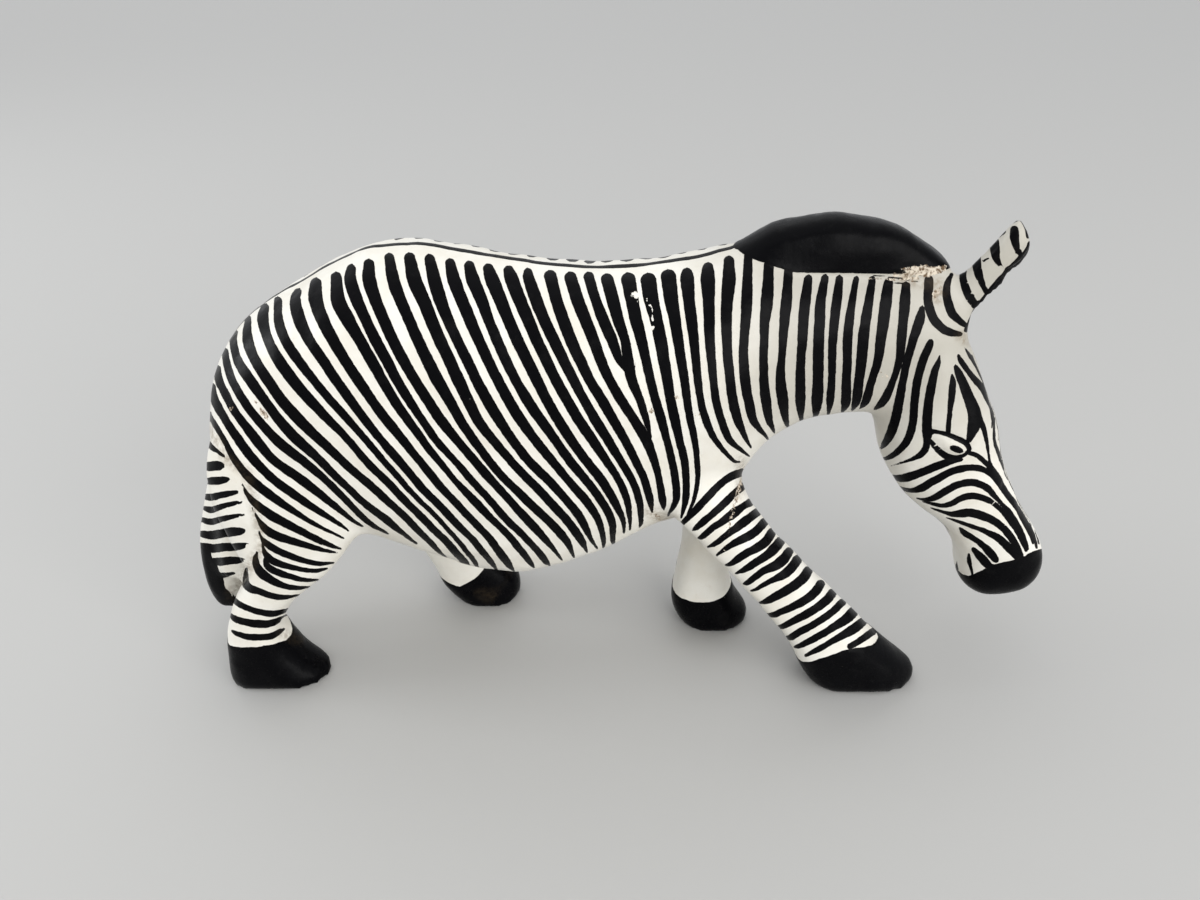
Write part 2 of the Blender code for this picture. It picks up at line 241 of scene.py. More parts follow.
# %% Strokes on the body
# Per stripe: its top, the first slice, its tip, and between them the slices 20 pixels
# apart, each with the step of the left edge to the right and the width of the black.
# An indented line goes on with the stripe above it.
BODY_STRIPES = """
208.5,411.5 420 209.2+5.5 11.6+5.9 10.6+8.1 14.1+12.2 24.4+13.4 33.3+9 343.6,538.1
212,383 400 210.9+8.3 9.9+9.3 12.5+10.5 14.7+11.6 19.3+13.2 27.6+14.1 34.6+7.7 348.4,530.6
217,365 380 215+7.4 8.7+9 12.5+9.7 13.5+12.5 17.6+13.2 26.9+14.8 28.2+10.9 26.3+5.8 362.5,526.6
225,348 360 222+7.1 5.2+8.7 11.6+9.5 13.5+10.7 17.6+14.1 25+13.4 25.6+10.3 20.5+9 19.9+9
  388.7,533.5
235.5,329.5 340 229.2+8 3.5+9.6 10.9+12.2 14.7+11.6 14.7+12.6 17.4+14.5 23.1+11.9 20.9+10.5
  21.4+10.2 25.6+10.9 27.2+4.4 417.5,544
249.6,315.5 320 244.9+5.7 -1.9+9.8 6.4+10.6 11.5+12.8 14.1+13.5 17+15 21.5+13.2 21.8+11.5 22.7+11.9
  23+10.7 21.8+10.2 21.2+8.3 447,559
266.5,304 320 257.7+10.3 5.1+10.7 9.2+13.3 13.9+13.8 17.3+13.7 19.9+11.3 19.9+9.8 17.5+10 19.2+10.7
  19.9+10.3 20.1+9.8 20.3+9 18.6+9 470,566
280.4,297.8 300 275+7 -1+9.3 6.1+10.7 11.9+11.6 16.3+10.9 16.7+10.3 18+10.2 18.5+9 17.7+8 17.2+7.7
  19.9+6.4 19.9+5.7 17.9+5.8 16.7+5.1 479,569
298.9,288 300 290+10.8 3.3+12.5 9.5+12.3 14.1+12.3 13.2+11.6 14.1+11.6 15.8+10.8 16.3+9.9 16.5+10.7
  17.1+10.2 18.6+10.2 19.2+10.3 20.5+9 17.3+7.7 497,570.5
316,277.5 300 308.7+13.8 7.3+13.7 10.7+12.8 12.1+11.8 12.5+12.8 14.7+11.6 14.5+12.1 16.5+11
  16.7+10.3 16+10.3 18+10.3 19.9+9.6 18.6+8.9 14.7+9.6 514,570.5
335.5,271.5 300 330.8+14.5 9.6+15.1 12.8+12.8 11.5+13.1 12+11.5 12+11.3 13.5+10.8 15.6+9.6 15.8+8.7
  17.3+7.7 17.3+10.9 19.9+8.9 19.9+9 16.4+7.3 534,567
351.5,264 280 344.2+12.3 6.2+12.8 9.6+11.5 9.2+12.6 11.3+12.1 11.1+10.6 12.2+10.3 13.5+9.2 14+9.7
  18.3+8.4 17.3+9.6 18+8.9 16.6+10.3 21.8+9 17.3+8.4 548,563.5
369,259 280 362.5+13.5 6.6+12.6 8.5+12.4 9.2+12.2 10.2+12.2 11.8+11.7 12.4+12.4 13+12.8 17.3+11.2
  16.7+10.9 17.3+11.2 18.6+10 17.9+11.6 19.9+8.4 562,559.5
388.3,252.5 280 387+12.6 7.3+12.3 8.9+11.8 8.6+12.2 9+12.8 9.6+14.1 12.8+12.2 11.5+11.2 14.1+10.3
  14.2+10.2 17.3+10.9 20.2+11.8 21.4+11.6 19.6+9 574,557
408.6,253 280 407+14.8 9.3+14.1 8.3+13.4 8.6+13.2 9.6+12.8 9+13.2 10+12.2 10.2+11.6 15+11.3
  17.7+10.9 18.6+11.3 19.3+11.5 18.6+10.8 15.5+8.8 587,552
428.5,254 280 427.8+13.5 5.8+13.4 8.6+11.8 9.3+11.2 9.7+11.5 9.6+11.5 10+12.4 12.2+12.1 13.7+11.5
  15.6+11.9 19.6+12.2 19.7+10.1 15+9.6 12.6+4.4 597,548
449,258 280 447.3+13.2 7.8+12.9 8.6+12.8 9+11.9 9.6+11.5 9.6+11.6 10.3+12.2 12.4+12.6 14.9+11.5
  16.3+10.9 17+10.2 17.1+10.6 14.7+7.4 6.7+4.6 603,547
468,261 280 466+13.7 9+12.7 8.2+10.8 8.1+11.3 9+10.9 10+10.5 10.7+12.6 13.9+12.1 14.7+10.9
  13.9+11.5 17+10.5 15.4+9.6 11.8+7.7 2.9+4.4 612.5,542
486.5,264 280 484.9+14.7 8.7+13.7 8.6+12.8 8.6+12.9 10+12.4 9.8+12.2 10.4+11.6 11.2+11.9 12.8+12
  15.2+11.2 15.4+11.2 13.4+9.3 11.5+5.1 624,533
507,266.3 280 504.7+14.1 8.1+13.7 9+13.1 8.6+12.4 9.9+12.1 9.7+11.8 11.2+11.8 11.5+12.3 14.1+11.4
  14+9.8 13.9+8.1 8.8+7 4.5+3.8 630,530
527.2,268.4 280 523.3+11.6 6.4+12.9 8.3+12.5 9.4+12.5 10.3+11.6 10.3+11 11.1+10.1 10.6+11.6
  12.6+10.9 13.1+9.3 12.5+8 7.7+7.1 3.2+4.5 639.5,527
549.4,269.6 280 544.5+12.8 6+12 6.5+12.6 7.5+12.5 9.4+12.1 10.1+11.3 11.9+11.8 11.8+11.3 12.2+10
  10.9+8.9 9.7+8 6+7.1 652,512
569.9,271.2 280 564.7+12.3 6.3+13.3 8+12.7 8.5+12 7.5+11.2 9.2+10.7 11.2+11.6 13.4+10.9 12+10.9
  9.2+8 5.9+6.7 3.1+7.2 664,509
587.4,271.8 280 584.4+10.5 6.1+10.3 6.7+12.2 9.2+11.3 8.9+7.9 628,374
606.7,273.2 280 601+12.6 5.4+12.8 5.9+11.8 8+9.2 2.5+10.6 3.9+10.2 9.2+8.1 7.1+6.5 651,438
628,272 280 621.3+14.1 4.3+12.9 4.3+12.4 6+11 5.3+9.6 4.7+9 5.1+9 5.8+9.4 6.4+7.3 4.8+7.4 3.8+7.4
  1+6.7 668,515
648.5,273.2 280 640.8+15.4 3.2+14.7 6+12.6 4.2+12.5 3.9+11.5 4.2+10.3 3.5+9.6 4.2+9.9 5.4+7.9
  5.1+7.7 2.3+6.7 -.4+6.4 681,518
668.5,269.6 280 661+15 3.5+13.7 4.7+11.6 3.8+10.3 3.4+9.6 3.7+8.7 2.9+7.8 3.7+7.3 4.7+6.4 3+5.3
  .9+4.4 -3.3+3.6 684,524
686.8,267.4 280 680.5+13.5 2.8+11.3 2.7+11 3.2+9.5 2.6+8.2 2.2+7.7 3+7.2 5+8 9.9+6.8 18.4+4.7
  740,462
708,262 280 700.8+14.1 2.2+11.5 .8+10.7 1.1+9.8 2.3+8.6 2.2+7.6 2.6+8 5.4+8 8.2+8.1 749,456
729,256 280 722.4+13.2 -1.1+11.7 -.4+10.9 1.3+9.6 1.3+9.2 1.9+9.2 2.8+9.4 4.8+9 11.8+4.2 750.5,447
"""

# The neck stripes start under the mane and end at the throat.
NECK_STRIPES = """
748.5,252 300 741.4+10.6 -.6+9.6 -.9+8.6 -.9+9 .9+10.1 3.8+9.6 5+9.1 768,439
769,258 300 760.9+11.9 -1.3+10 .4+8 -1+8.4 .7+8.9 1.3+9.9 4.8+7.2 774,432
788.5,264 300 781.4+10.6 -1.5+9.6 -.7+8.1 -1.2+7.4 -2+9.6 1.3+10.7 5.7+5.8 788,427
808.7,274.7 300 800.4+10.5 -1.7+9.8 -.9+9.2 -.8+8.5 -1.4+9.3 0+9.9 4.1+3.3 802,424
825.8,274.3 300 816.2+9.6 -1.7+10.2 -1.3+10.6 -.2+10.5 -.2+10.2 -1.1+11.1 2.1+2 814,421
840,275 300 832.4+9.4 -2.5+8.9 -1.6+8.6 -.1+7.7 -.2+7 -1.6+7.3 828,415
857,276 300 848.8+7 -3.8+8.6 -2+9.3 0+8.7 -1.2+9 -.8+9.8 842,413
873,276 300 864.5+8.7 -3.9+10 -2.6+11 -1.5+10.3 -2+9.3 -2.5+9.3 852,411
889,278.5 300 880.3+11.7 -2.3+11.5 -2+9.9 -2.5+8.7 -5.2+7.5 -6.3+8.5 860,409
906,281.5 300 899.7+10.3 -.9+9.2 -1.9+9.1 -1.6+7.7 -5.4+6.9 -10.9+9.6 874,410
"""


def lines_of(text):
    """The strokes of a list."""
    return [line for line in text.replace("\n  ", " ").split("\n") if line]


print(len(lines_of(BODY_STRIPES)), "stripes on the body,", len(lines_of(NECK_STRIPES)), "neck")

# %% [markdown]
# The other strokes, on the face, the ear, the legs and the tail, are written one a line:
# "across, down, half width" where the brush starts, and then the same for each step.

# %% Strokes on the head
HEAD_STROKES = """
922,308,3 -2.4,12,5.4 -6.6,20,4.6 -5.5,20,4.4 -4.2,20,4.2 -4,20,5 -3.9,20,5.2 -4.4,13,5 -5.5,9,4
  -4,5.5,2
930.5,341,3 -1.5,5,4.2 -5.8,14,4.4 -5.6,20,4.4 -2.9,20,4.5 -1.5,20,4.4 -2,10,4.4 -3.7,10,4.2
  -6.5,8.5,3.8 -8.5,7,3 -7.5,3,2 -4,-.5,.6
939.8,355,.6 -2,8,3 -3.3,9,4 -3,13,4.7 -2.7,15,4.9 -1.8,20,5.2 0,12,5.2 -.2,10,3.9 -1.8,8,4
  -6,6,3.2 -9,4,2 -10,3,1.2 -9,2.7,.4
952,375,1.6 .8,8,3.8 -.8,12,4 -1.7,15,3.2 -1.5,14,2.8 -.5,10,2.8
955,365,1.5 3,6,4 4.5,10,5 4,10,5.6 4,11,6 3.5,10,6.6 1,9,7 -2.5,9,5.6 -3,8,3.5 -2.5,5,1.6
978,416,3.5 5,12,3 3,12,2.2 2,10,1.8 1.5,9,1.6 1,8,2.5
958.5,355,1.5 3.5,7,3.2 6.5,9,3 6.5,8.5,3.2 7.5,9.5,3.6 5.5,10,4 3.5,10,2.6 .7,11,1.6 -.9,8,.8
965,347,.5 5,8,2 6,9,2.4 5,10,3 5,11,2.6 4.5,10,2 4.5,11,1.6 2.3,9,1.4 .7,12,1.2 .3,13,1
994,418,1 -.5,12,1.4 .5,11,1.8 3.5,11,2 4.5,11,2.4 6,12,2.6 6.5,11,2.8 6.5,11,3 6,11,3.2 5,11,3
  4,11,2.4 3,13,1.6
999,443,.9 5,14,1.2 7,13,1.4 8,14,1.6 8,14,1.6 6,13,1.4 5,17,1 2.5,15,.8
966,452,2 9,2.5,2.6 8,5.5,2.8 7,7,3.2 7,9,3 7,11,2.6 7,11,2.6 7,10.5,3 6,9.5,2.8 6,11,2.4 5,12,1.8
  2,7,1.4
888,473.5,.8 6,3.5,2.6 8,1,4.2 9,-2,4.6 11,-3.5,4.3 12,-5,4.2 11,-4.5,3.8 9,-2.5,3 8,-1,1.6
896,485,.6 8,4,2 9,1.5,2.8 9,-2.5,4.4 9,-5.5,4.2 10,-5.5,4 11,-6,3.8 13,-3,3.8 14,.5,3.4 10,4,3.2
  7,7.5,3 7,9.5,2.8 7,9.5,2.6 7,10,2.6 6,11,2.4 6,12,2 4,11,1.6
916,498.5,.8 9,1.5,2 9,-2,3.4 9,-5.5,4 10,-6,4 12,-3.5,3.9 12,.5,3.9 10,4.5,3.8 7,7.5,3 7,7.5,2.4
  7,7.5,2.8 6,8.5,2.8 6,10,2.6 5,11,2 3,9,1.4
922,502,.6 10,2,1.8 10,1.8,2.4 9,-1.8,3.2 9,-5,3.6 11,-3,3.7 12,2,3.5 10,5,3 8,6.5,2.8 8,9.5,3.2
  7,10,3.2 5,10,2.8 5,11,2.2
930,508,.6 10,3,1.6 11,3,2.6 10,-.5,4 10,-1,4.4 11,3,4.6 10,4.5,4.2 10,7,4 8,9,4 6,10,3.8 5,10,3
946,517.5,.6 9,2.5,1.6 11,4,2.2 11,4,2.6 10,4.5,3.2 10,5,4 9,7.5,4.4 8,8,4.4 5,6,3.6
960,528,1.5 4,4.5,3.4 8,5,3 9,6.5,3.2 8,7.5,4.4 6,7,4 1.5,2.5,2.5
973.5,549,2.4 4.5,5,3.8 6,6.5,4.8 5,5.5,4
969,554,1.4 .3,7,2.4 1.7,8,1.8 1.5,6,1.5
"""
EYE_STROKES = """
929,431,2.6 9,1.5,2.4 10,2.5,2.6 9,3.5,2.8 8,4,3 4,5.5,2.8 -.5,4,2.2
929,440,2.2 5,6,3 6,6,3.4 7,4.5,3.6 8,1.5,3 7,-2,2.4 5,-3,1.8
951.5,446.8,2.6 4.5,1.7,3.6 4.5,1.7,2.6
"""
EAR_STROKES = """
1029,243,1.6 -2.5,8,2.4 -7.5,8,2.6 -10,11.5,2.9 -10,11.5,3.2 -10,12.5,3.4 -9,12.5,3.2 -8,11.5,2.9
  -6,11.5,2.2
1004.5,232,1.4 -5.5,5,1
1023.5,222,1 -4.5,-3,1 -6.5,4,.8
1014.5,230,4 0,8,4.2 1.5,8,3.2 3,8,1.2
995,242,4 0,8,4.6 1.5,9,3.4 6,9,.8
979,254,2 -2,10,4 1.5,9,4 2.5,8,3 4,8,2.6 4,8,2.2
964.5,268,2.4 -1.5,10,3.4 2.5,10,4 4.5,10,4 6,7.5,3.6 5,4.5,2
951,275,1.6 -3.5,8,2.8 -1,10,3.4 2,11,4 4,10,4 7.5,7.5,3 8,5.5,1.8
929,280,4.6 -.5,10,4.6 -.5,11,4.4 3,12,4.6 5,9,4.4 7,7,4 8,3.5,3.6 9,1.5,2
1024,221,2.2 3,7,2.4 1,8,2.2
983,261,.8 5,-2,1
"""
# Two thin lines cross the tops of the last neck stripes.
NECK_LINES = """
874,275.5,.4 11,1.3,.6 15,1.8,.7 12,2.2,.6 6,1,.3
893,282.5,.3 7,1,.6 8,.5,.4
"""
print(len(lines_of(HEAD_STROKES)), "strokes on the head,", len(lines_of(EAR_STROKES)), "ear")

# %% [markdown]
# On a leg the brush went round the front and ran out towards the back edge, so each
# stripe is a short arc. The bars on the tail are shorter still. They look quickly done
# and no rule fits them, so each one is written down as it is.

# %% Strokes on the legs and the tail
HIND_LEG_STROKES = """
241,482,.6 5,10,1.5 7,9,3.2 11,9,4.2 14,9.5,4.2 22,11.5,3.6 19,9,3 14,6,1.8 7.5,2.5,.5
252,507,.5 6,11,1.2 6,9,3.5 9,7,4 14.5,6,3.6 17.5,5,3 17,4.5,2 15,3,.5
258.5,530,.5 2.5,7,1.3 5,6,3 10,6.5,3.3 14,6.5,3 16,5.5,2.5 14,2.5,2 14,-1,.6
262,541,.6 1.5,8,1.5 3.5,7,3.2 8,6,3.5 15,5,2.6 16,3.3,2 11,.5,1.8 10.5,-2.1,.6
264,557,.6 3,9,3 8,5.5,3.3 15,5,2.7 14,3.5,2 14.5,.2,.6
257,552,.6 -1.5,7,2.6 1.5,8,3.6 5,7,4.5 10,6.5,3.6 12,5,2.7 13,2.5,2 13,-.7,.6
246.7,568,.6 -1.2,7,2 0,8,3 4.5,5.5,3.6 11,3.5,3 11,3.5,2.8 12,1.5,2.2 16,-1.7,.5
231,590,.8 0,6,2.3 6,6.5,2.8 10,5.5,2.8 11,4,2.8 12,1.7,3 10,-1.7,2.2 10,-3.5,.8
230,614,1 4,4.5,2.8 9,3.3,3.2 13,1.9,3.4 12,-.2,3.4 9,-3,2.6 4,-3,1.2 7,-3,.4
231.5,631,.8 5.5,3,2.2 10,2.5,2.9 13,.5,3 11,-1,3 7,-3.5,2.6 6.5,-3.5,.8
"""
FRONT_LEG_STROKES = """
742,472.5,3.6 -8,3,3.8 -10,5.5,3.8 -9,8,3.6 -9,9.5,3.6 -9,10,3.4 -7,7.5,2.8 -7,6.5,2
743,486,3.4 -8,7.5,3.4 -10,9.5,3.8 -12,10.5,3.2 -10,8,3.4 -6,5.5,2.6 -5,2.8,.6
750,502.5,3.8 -7,4,3.2 -9,7,4.5 -11,7.5,3.6 -11,7,3 -9,8,2.8 -5.5,2.7,.6
757.5,512,3.8 -6.5,5,4 -8,6,4.4 -9,7,3.4 -9,6.5,2.8 -9,7,2.6 -8.2,3.5,.6
764,522.5,4 -6,7,4 -9,6.5,4.2 -11,5.5,3.6 -10,6,2.6 -11.5,8,.8
771.5,532.5,4.2 -5.5,8.5,4.5 -9,6.5,4.2 -10,5,3.6 -9,6,3.4 -8,5.5,2 -4.5,1,.6
780,541.5,4.6 -6,7,5 -8,7.5,4.2 -10,6,3.8 -10,6.5,3.2 -10.5,5.5,.7
788.5,552,4.2 -5.5,7.5,5 -8,6.5,4.6 -10,4.5,3.4 -9,6,3.2 -7,5.5,2.6 -5.5,2,.6
797,560,4.6 -6,8,4.6 -8,7,4 -9,4.5,2.6 -10,5,2 -8,4.5,1.4 -5,1.5,.5
808,571,4.6 -4,6.5,4.8 -7,6,4.8 -10,6.5,4.6 -11,6,4.2 -9,4.5,3 -8,2.5,.6
820.5,584,4 -4.5,7,4.2 -8,7.5,4.2 -11,6.5,3.8 -12,5.5,3.2 -11,4,2.6 -7,-.5,.6
832,593.5,4.4 -6,7,4.2 -10,7.5,4 -11,7,3.6 -12,6.5,3.2 -10,5,2.6 -6,0,.8
842,602.5,3.6 -7,7,3.6 -10,7.5,3.4 -13,8,3.2 -13,7.5,3.4 -8,5,3 -5.5,0,.8
852.5,612.5,5 -6.5,7,4.6 -11,7,3.8 -13,7.5,3.4 -13,7,3 -9,5,2.2 -5.5,1,1
862.5,622,4.2 -8.5,6.5,4.6 -10,6.5,3.8 -12,6.5,2.8 -12,6.5,2.8 -14,7,1.4
873,631.5,3.4 -7,5,3.4 -8,5,3 -8,5,2.6
"""
TAIL_STROKES = """
207.5,441,1.2 3.5,6,2.4 6,4.5,1.5 5,3.5,1.5 4,2,.6
202.5,467,.6 5.5,-.5,4 7,-.5,4.6 5,0,4 3.5,-.5,1.5
202,480,.6 6,1,3 8,0,3.8 8,-1,3.2 5,-1.2,1
200.5,494,1 8.5,3.5,3.3 11,-2,3 10,-2,2.7 7,-1.2,1.6
200.3,506.5,.8 9.7,3.5,3 12,-3.5,2.4 11,-2.7,2 8.5,-1.8,1
200,519,2 10,3,3 12,-3.2,2.6 11,-2.3,2 11,-2.2,.8
200,533.5,2.6 10,2,4 12,-2,4.2 11,-2,4.4 7,0,3.6 3,-.5,2
203,546,3 9,2.5,4 10,-1,4 11,-.5,3.6 8,-1,3 6.5,-1,1.4
212,560.5,2.5 8,1,3.8 10,-1,3.6 8,-.5,3.2 6,0,1.6
216,573.5,2 7,1.5,2.4 11,-1.5,.8
"""
print(len(lines_of(HIND_LEG_STROKES)), "hind leg,", len(lines_of(FRONT_LEG_STROKES)),
      "front leg and", len(lines_of(TAIL_STROKES)), "tail strokes")

# %% [markdown]
# Some places are filled in rather than drawn: the mane, the muzzle, the tail tip and the
# hooves. The first three are outlines in the picture. The hooves go all the way round
# each leg, so their upper edge is a height that changes along the leg.

# %% Filled places
MANE = table("""728,246 737,250 746,255.5 756,260.5 767,263.7 776,267.3 785,270.3 795,272.8
    840,273 880,273.8 905,274 925,276 938,274 950,268 957,256 957,200 728,200""")
MUZZLE = table("""950,562 956,569 962,574 968,576 974,574 983,570 991,565.3 999,563 1013,560
    1023,557.5 1028,554 1034,551 1043,548 1070,540 1070,610 930,610 930,562""")
TAIL_TIP = table("""190,541 203,543 211,549 212,557 217,563 220,571 224,580 225,587 229,591
    234,598 236,611 236,640 190,640""")

# Per hoof: from and to along the body, from and to across it, and its upper edge as
# distance along the body and height, all in mm.
HOOVES = [
    (-200, -60, -99, 0, table("""-106,15.6 -101,16.2 -96.7,16.5 -93.6,16.2 -91,14.8 -88.5,12.6
        -86,10.4 -82,8""")),
    (40, 200, -99, -3, table("""46,9 49.6,9.6 53.3,13.2 57.2,14.8 59.6,15.8 63.1,16 67.3,15
        70,14.2 73,13.2 78,11.5""")),
    (-200, -20, 0, 99, table("""-57,10.4 -52.7,9.4 -46.8,8.4 -41.8,11.6 -38.6,14.9
        -36,16""")),
    (5, 45, -5, 99, table("""15,11.6 17.5,11.9 20.3,11.9 23.3,11.4 27.8,11.9 31,12.4 33,13.4
        36,14""")),
]
ANKLE = 30  # mm, above all hooves
print(len(HOOVES), "hooves,", len(MANE), "corners on the mane,", len(MUZZLE), "muzzle")

# %% [markdown]
# ## From strokes to paint
# For every point of the skin the distance to the nearest black edge is worked out, less
# than zero inside the black. Such a distance is smooth, so it keeps a sharp, clean edge
# between the mesh points, where a plain black-or-white mark would look like stairs.

# %% Measure the distance to a stroke
PIXELS_PER_MM = 3.8
REACH = 9.0  # pixels; further away than this nothing is measured
CLEAR = 5.0  # pixels; the stripes of one layer must not meet, so beyond this distance
FADE = 3.0  # their width fades away
BLUNT = 0.75  # how wide a body stripe starts
TIP = 0.7  # pixels, half the width where it ends
ROW = 20  # pixels
SHORT = 7.0  # pixels; a slice this close to the start is left out
THINNEST = 0.2  # pixels
BENDS = 4  # points of the smooth curve for each point of a stroke
TINY = 1e-6


def brush(points):
    """More points along a stroke, on a smooth curve through the given ones."""
    points = np.array(points)
    before = np.vstack([2 * points[0] - points[1], points[:-1]])[:-1]
    start, end = points[:-1], points[1:]
    after = np.vstack([points[2:], 2 * points[-1] - points[-2]])
    part = np.linspace(0, 1, BENDS, endpoint=False)[:, None, None]
    curve = (start + 0.5 * part * (end - before)
             + part**2 * (before - 2.5 * start + 2 * end - 0.5 * after)
             + part**3 * (1.5 * (start - end) + 0.5 * (after - before)))
    line = np.vstack([curve.transpose(1, 0, 2).reshape(-1, 3), points[-1:]])
    line[:, 2] = np.clip(line[:, 2], THINNEST, points[:, 2].max())
    return line


def read_strokes(text):
    """Strokes of a list, one a line."""
    strokes = []
    for line in lines_of(text):
        points = table(line)
        points[:, :2] = points[:, :2].cumsum(axis=0)
        strokes.append(brush(points))
    return strokes


def read_stripes(text):
    """Body stripes, from the width of the black in level slices."""
    stripes = []
    for line in lines_of(text):
        top, first, *slices, tip = line.split()
        top, tip = np.array(numbers(top)), np.array(numbers(tip))
        step, width = np.array([numbers(cut, "+") for cut in slices]).T
        rows = float(first) + ROW * np.arange(len(step))
        middle = np.stack([np.cumsum(step) + width / 2, rows], axis=1)
        path = np.vstack([top, middle, tip])
        along = path[2:] - path[:-2]
        steep = np.abs(along[:, 1]) / np.linalg.norm(along, axis=1)
        half = width / 2 * steep
        blunt = half[0] * BLUNT
        down = (middle[0] - top) / np.linalg.norm(middle[0] - top)
        start = top + down * blunt
        if np.linalg.norm(middle[0] - start) < SHORT:  # the round end reaches the first slice
            blunt = half[0]
            start, middle, half = top + down * blunt, middle[1:], half[1:]
        points = [(*start, blunt), *np.column_stack([middle, half]), (*tip, TIP)]
        stripes.append(brush(points))
    return stripes


def near_to(pixels, stroke):
    """Numbers of the points that lie near a stroke."""
    margin = REACH + stroke[:, 2].max()
    low, high = stroke[:, :2].min(axis=0) - margin, stroke[:, :2].max(axis=0) + margin
    return np.flatnonzero(((pixels > low) & (pixels < high)).all(axis=1))


def beside(spot, a, b):
    """How far along the piece of a stroke from a to b each point lies, as a part of its
    length, its distance from the piece, and half the width of the stroke there."""
    step = b[:2] - a[:2]
    part = ((spot - a[:2]) @ step) / max(step @ step, TINY**2)
    share = np.clip(part, 0, 1)
    gap = np.linalg.norm(spot - a[:2] - share[:, None] * step, axis=1)
    return part, gap, a[2] + share * (b[2] - a[2])


def distance_to_strokes(pixels, strokes):
    """Distance of each point to the nearest stroke's edge, in mm."""
    distance = np.full(len(pixels), REACH)
    for stroke in strokes:
        near = near_to(pixels, stroke)
        best, spot = distance[near], pixels[near]
        for a, b in zip(stroke[:-1], stroke[1:]):
            part, gap, wide = beside(spot, a, b)
            best = np.minimum(best, gap - wide)
        distance[near] = best
    return distance / PIXELS_PER_MM


def middle_lines(pixels, strokes):
    """Distance to the middle of the nearest stroke, less than zero to one side of it, and
    half the width of the stroke there, both in mm."""
    side = np.full(len(pixels), 2 * REACH)
    half = np.full(len(pixels), -2 * REACH)
    best = np.full(len(pixels), REACH)
    for stroke in strokes:
        near = near_to(pixels, stroke)
        spot = pixels[near]
        for n, (a, b) in enumerate(zip(stroke[:-1], stroke[1:])):
            part, gap, wide = beside(spot, a, b)
            step = b[:2] - a[:2]
            length = max(np.linalg.norm(step), TINY)
            across = ((spot - a[:2]) @ np.array([-step[1], step[0]])) / length
            past = np.zeros(len(near))  # how far beyond the end of the stroke, in pixels
            if n == 0:
                past = np.maximum(-part, 0) * length
            if n == len(stroke) - 2:
                past = np.maximum(past, (part - 1) * length)
            round_end = np.sqrt(np.maximum(wide**2 - past**2, 0)) - np.maximum(past - wide, 0)
            closer = gap - wide < best[near]
            mine = near[closer]
            best[mine] = (gap - wide)[closer]
            side[mine] = np.where(past > 0, across, np.copysign(gap, across))[closer]
            half[mine] = (round_end - FADE * np.maximum(gap - wide - CLEAR, 0))[closer]
    return side / PIXELS_PER_MM, half / PIXELS_PER_MM


def distance_to_outline(pixels, outline):
    """Distance of each point to a closed outline, in mm, less than zero inside."""
    gap = np.full(len(pixels), np.inf)
    inside = np.zeros(len(pixels), dtype=bool)
    for a, b in zip(outline, np.roll(outline, -1, axis=0)):
        step = b - a
        share = np.clip(((pixels - a) @ step) / (step @ step), 0, 1)
        gap = np.minimum(gap, np.linalg.norm(pixels - a - share[:, None] * step, axis=1))
        if a[1] != b[1]:
            crosses = (a[1] > pixels[:, 1]) != (b[1] > pixels[:, 1])
            at = a[0] + (pixels[:, 1] - a[1]) / (b[1] - a[1]) * step[0]
            inside ^= crosses & (pixels[:, 0] < at)
    return np.where(inside, -gap, gap) / PIXELS_PER_MM


stripes = read_stripes(BODY_STRIPES) + read_stripes(NECK_STRIPES)
print(len(stripes), "stripes, of", sum(len(stroke) for stroke in stripes), "points")

# %% [markdown]
# A stroke belongs to one part of the animal. Behind the ear lies the neck, and behind the
# tail lies the rump, so a point first says which part it is on, and only that part's
# strokes may colour it. Strokes run on round the edges of the legs and stop at the belly
# and on the inside of the legs, which the painter left plain.
#
# Neighbouring stripes go to different layers. One distance for all of them would have a
# fold in the middle of each narrow white gap, and the gap would break up into beads. The
# long body stripes are kept as two smooth values, the distance to their middle and half
# their width, so that their edges stay clean on squares almost as wide as the gaps.

# %% Black paint, part by part
LAYERS = 3
FORK = 25  # two stripes end above this one, so from here on the layers move by one
SWELL = 0.1  # mm that every stroke is wider than it was read
HEAD_SWELL = -0.04  # mm; on the head the gaps are narrow
PLENTY = 3.0  # mm, a distance that surely means white
TURN = 6.0  # mm on the skin for a change of one in how far it faces the eye
EAR_FOOT = table("81.8,88.4 83.6,84.6 85.2,78.8 86.2,75 88.5,69")
EAR_BACK, EAR_LOW = 82, 70  # percent of the length and of the height
# Down and across, where the tail meets the leg.
TAIL_EDGE = table("""440,219 455,227 480,237 500,246 530,250 552,248 565,244 580,238 596,231
    640,229""")
TAIL_TOP = 438  # pixels down
TAIL_FOOT, TAIL_RUMP, TAIL_ROOT = 6, 21, 66  # percent of the height
TAIL_SIDE = 9.6  # mm to either side of the middle; higher up it is hidden in the rump
RUMP_SIDE = 30.0


def layers_of(pixels, text, swell=SWELL):
    """Distances to the strokes of a list, each third stroke in one layer."""
    strokes = read_strokes(text)
    return [distance_to_strokes(pixels, strokes[k::LAYERS]) - swell for k in range(LAYERS)]


def on_ear(places):
    """True for points above the line where the ears leave the head."""
    line = np.interp(places.up, EAR_FOOT[::-1, 1], EAR_FOOT[::-1, 0])
    return (places.along > np.maximum(line, EAR_BACK)) & (places.up > EAR_LOW) & places.head


def on_tail(places):
    """True for points to the left of the line between the tail and the hind leg."""
    across, down = places.pixels.T
    side = np.where(places.up > TAIL_RUMP, RUMP_SIDE, TAIL_SIDE)
    left = (across < np.interp(down, TAIL_EDGE[:, 0], TAIL_EDGE[:, 1])) & (down > TAIL_TOP)
    level = (places.up > TAIL_FOOT) & (places.up < TAIL_ROOT)
    return left & level & (np.abs(places.off_middle) < side)


